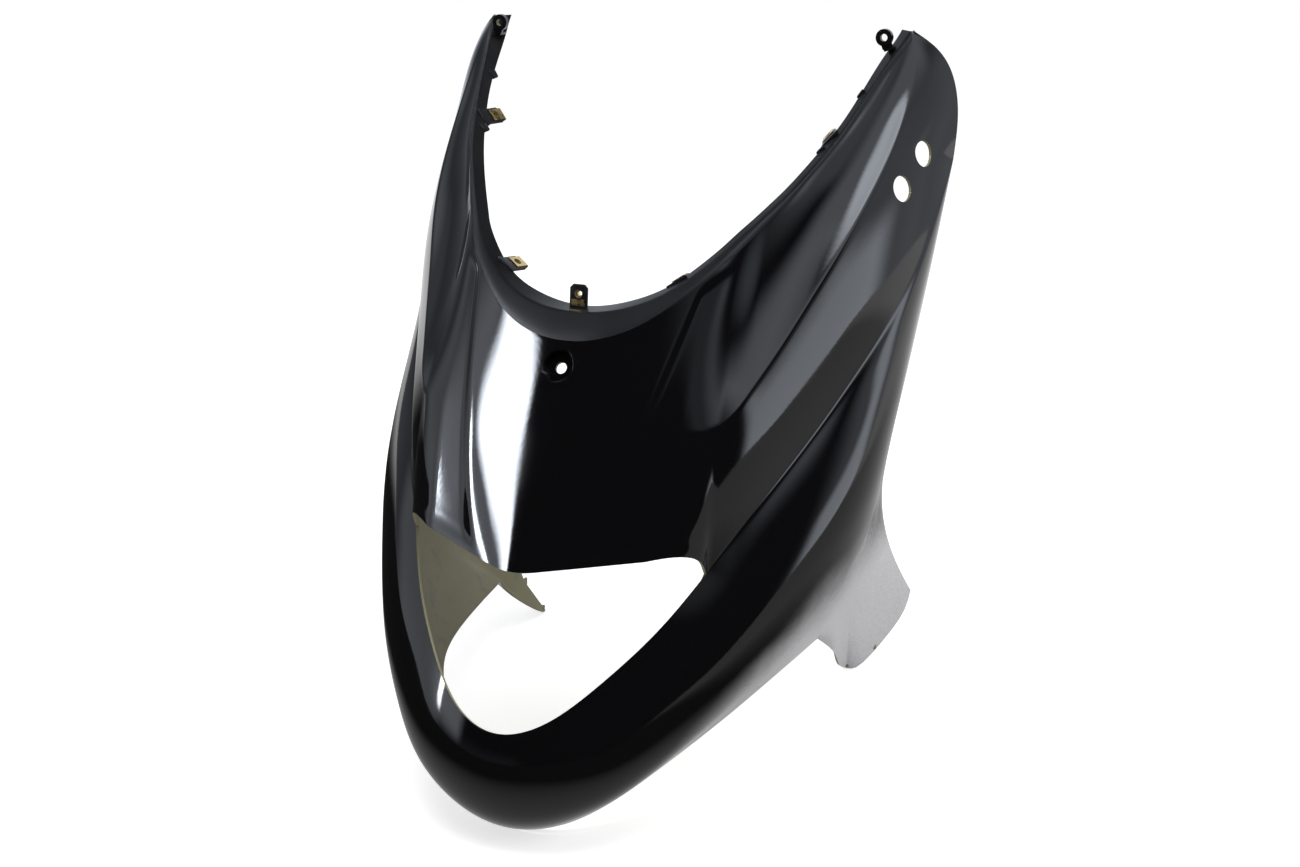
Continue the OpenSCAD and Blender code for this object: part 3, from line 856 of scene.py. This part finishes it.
def gloss_paint():
    """Gloss black that turns grey on the undersides towards the feet: real overspray on the feet, and a
    painted pale reflection of the white floor along the undersides.
    """
    n = MaterialNodes("gloss_black_paint")
    peel = n.noise(260.0, 2.0)
    smear = n.noise(14.0, 4.0)
    speckle = n.noise(420.0, 4.0)
    x, _, z = n.place()
    side = n.math("MULTIPLY", n.math("ABSOLUTE", x), SPRAY_AND_SHEEN_SLOPE)
    under = n.math("ADD", n.math("SUBTRACT", side, z), n.math("MULTIPLY", smear, SPRAY_AND_SHEEN_WOBBLE))
    # This grey is partly real overspray and partly painted reflection of the floor, spread along the
    # undersides.
    greying = n.fit(under, SPRAY_AND_SHEEN_FROM, SPRAY_AND_SHEEN_TO, 0.0, 1.0)
    spray_and_sheen_grey = n.mix(speckle, SPRAY_AND_SHEEN_DARK, SPRAY_AND_SHEEN_LIGHT)
    rough = n.math("ADD", n.fit(smear, 0.35, 0.7, 0.04, 0.075), n.math("MULTIPLY", greying, SPRAY_AND_SHEEN_ROUGHNESS))
    return n.surface(Base_Color=n.mix(greying, PAINT_BLACK, spray_and_sheen_grey), Roughness=rough, IOR=1.5,
                     Normal=n.bump(peel, 0.00002, 0.6))


def satin_band():
    n = MaterialNodes("satin_black_band")
    grain = n.noise(1400.0, 3.0)
    patch = n.noise(22.0, 3.0)
    colour = n.mix(patch, (0.005, 0.005, 0.006, 1), (0.01, 0.01, 0.011, 1))
    return n.surface(Base_Color=colour, Roughness=n.fit(patch, 0.3, 0.7, 0.3, 0.38), IOR=1.3,
                     Normal=n.bump(grain, 0.00004, 0.6))


def bare_plastic():
    n = MaterialNodes("bare_khaki_plastic")
    flow = n.noise(9.0, 4.0, stretch=(1, 1, 3.5))
    greying = n.noise(60.0, 5.0)
    khaki = n.mix(flow, (0.19, 0.175, 0.10, 1), (0.27, 0.25, 0.15, 1))
    colour = n.mix(n.fit(greying, 0.52, 0.75, 0.0, 0.45), khaki, (0.12, 0.12, 0.12, 1))
    return n.surface(Base_Color=colour, Roughness=0.5, IOR=1.45, Normal=n.bump(greying, 0.0001, 0.4))


def yellow_zinc():
    n = MaterialNodes("yellow_zinc_plate")
    stain = n.noise(180.0, 4.0)
    colour = n.mix(stain, (0.72, 0.50, 0.16, 1), (0.86, 0.68, 0.36, 1))
    return n.surface(Base_Color=colour, Metallic=1.0, Roughness=n.fit(stain, 0.3, 0.7, 0.22, 0.38),
                     Normal=n.bump(n.noise(900.0, 2.0), 0.00003, 0.5))


def floor_material():
    """White with a shadow for the camera; the gloss sees it pale near the panel, on the right and behind."""
    n = MaterialNodes("white_floor")
    camera, shiny = n.light_path()
    x, y, _ = n.place()
    near = n.fit(n.from_origin(), *FLOOR_NEAR, FLOOR_GLOSS_NEAR, FLOOR_GLOSS_FAR)
    right = n.fit(n.math("ADD", x, y), *FLOOR_RIGHT, 0.0, FLOOR_GLOSS_RIGHT)
    rear = n.fit(y, *FLOOR_REAR, 0.0, 1.0)
    diffuse = n.add("ShaderNodeBsdfDiffuse", Color=FLOOR_COLOUR)
    glow = n.add("ShaderNodeEmission", Color=WHITE, Strength=n.math("MULTIPLY", camera, FLOOR_GLOW))
    lit = n.add("ShaderNodeAddShader")
    n.put(lit.inputs[0], diffuse.outputs[0])
    n.put(lit.inputs[1], glow.outputs[0])
    reflected = n.math("MAXIMUM", n.math("MAXIMUM", near, right), rear)
    mirrored = n.add("ShaderNodeEmission", Color=WHITE, Strength=reflected)
    both = n.add("ShaderNodeMixShader")
    n.put(both.inputs[0], shiny)
    n.put(both.inputs[1], lit.outputs[0])
    n.put(both.inputs[2], mirrored.outputs[0])
    n.put(n.out.inputs["Surface"], both.outputs[0])
    return n.material


class WorldNodes(Nodes):
    """The world's node tree, with the direction of view as its coordinates."""

    def __init__(self, tree):
        super().__init__(tree)
        self.way = self.add("ShaderNodeTexCoord").outputs["Generated"]

    def dot(self, direction):
        node = self.add("ShaderNodeVectorMath", operation="DOT_PRODUCT")
        self.put(node.inputs[0], self.way)
        self.put(node.inputs[1], direction)
        return node.outputs["Value"]

    def glow(self, middle, half, soft, strength):
        """A soft-edged rectangle of light round one direction."""
        azimuth, elevation = (math.radians(a) for a in middle)
        ahead = (math.sin(azimuth) * math.cos(elevation), -math.cos(azimuth) * math.cos(elevation),
                 math.sin(elevation))
        across = (math.cos(azimuth), math.sin(azimuth), 0)
        upward = (-math.sin(azimuth) * math.sin(elevation), math.cos(azimuth) * math.sin(elevation),
                  math.cos(elevation))
        depth = self.dot(ahead)
        x = self.math("ARCTAN2", self.dot(across), depth)
        y = self.math("ARCTAN2", self.dot(upward), depth)
        w, h = (math.radians(a) for a in half)
        left, right, below, above = (math.radians(a) for a in soft)
        shape = self.math("MULTIPLY", self.fit(x, -w - left, -w, 0, 1), self.fit(x, w, w + right, 1, 0))
        shape = self.math("MULTIPLY", shape, self.fit(y, -h - below, -h, 0, 1))
        shape = self.math("MULTIPLY", shape, self.fit(y, h, h + above, 1, 0))
        return self.math("MULTIPLY", shape, strength)


def white_world():
    """White where the camera looks; the gloss sees a dim front with soft lamps and white behind the panel."""
    world = bpy.data.worlds.new("studio")
    bpy.context.scene.world = world
    world.use_nodes = True
    n = WorldNodes(world.node_tree)
    seen = n.fit(n.dot((0, 1, 0)), REAR_FROM, REAR_TO, 0, REAR_LIGHT)
    for _, middle, half, soft, strength in GLOWS:
        seen = n.math("ADD", seen, n.glow(middle, half, soft, strength))
    camera, shiny = n.light_path()
    dull = n.math("SUBTRACT", 1.0, shiny)
    light = n.math("ADD", n.math("MULTIPLY", shiny, seen), n.math("MULTIPLY", dull, FILL_LIGHT))
    light = n.math("ADD", n.math("MULTIPLY", light, n.math("SUBTRACT", 1.0, camera)), camera)
    tint = n.mix(shiny, WHITE, GLOSS_TINT)
    background = n.add("ShaderNodeBackground", Color=tint, Strength=light)
    n.put(n.add("ShaderNodeOutputWorld").inputs["Surface"], background.outputs[0])


def softbox(name, way, distance, width, height, power):
    """A rectangular lamp that lies in the direction way from the middle of the panel and is aimed at it."""
    lamp = bpy.data.lights.new(name, "AREA")
    lamp.shape = "RECTANGLE"
    lamp.size = width
    lamp.size_y = height
    lamp.energy = power
    obj = bpy.data.objects.new(name, lamp)
    bpy.context.scene.collection.objects.link(obj)
    way = Vector(way).normalized()
    obj.location = Vector(SOFTBOX_AIM) + way * distance
    obj.rotation_euler = (-way).to_track_quat("-Z", "Y").to_euler()
    obj.visible_glossy = False


def add_camera():
    data = bpy.data.cameras.new("camera")
    data.sensor_width = SENSOR
    data.lens = FOCAL_PX * SENSOR / PHOTO_W
    camera = bpy.data.objects.new("camera", data)
    bpy.context.scene.collection.objects.link(camera)
    camera.location = CAM_AT
    camera.rotation_euler = (math.radians(90 - CAM_ELEVATION), 0, math.radians(CAM_AZIMUTH))
    bpy.context.scene.camera = camera


def add_floor():
    bm = bmesh.new()
    bmesh.ops.create_grid(bm, x_segments=4, y_segments=4, size=FLOOR_SIZE / 2)
    mesh = bpy.data.meshes.new("floor")
    bm.to_mesh(mesh)
    bm.free()
    floor = new_object("floor", mesh)
    mesh.materials.append(floor_material())


def build_panel():
    obj = panel_shell([gloss_paint(), satin_band(), bare_plastic()])
    thicken(obj)
    add_fittings(obj)
    cut_openings(obj)
    finish_shading(obj)
    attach(obj, "root")
    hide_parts("front_panel")


def dress_clips():
    """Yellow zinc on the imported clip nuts, which keep their own shapes."""
    zinc = yellow_zinc()
    for name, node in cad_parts.items():
        if name.startswith("clip_nut"):
            for slot in node.material_slots:
                slot.material = zinc


bpy.context.scene.view_settings.view_transform = "Standard"
build_panel()
dress_clips()
add_floor()
for lamp in SOFTBOXES:
    softbox(*lamp)
white_world()
add_camera()
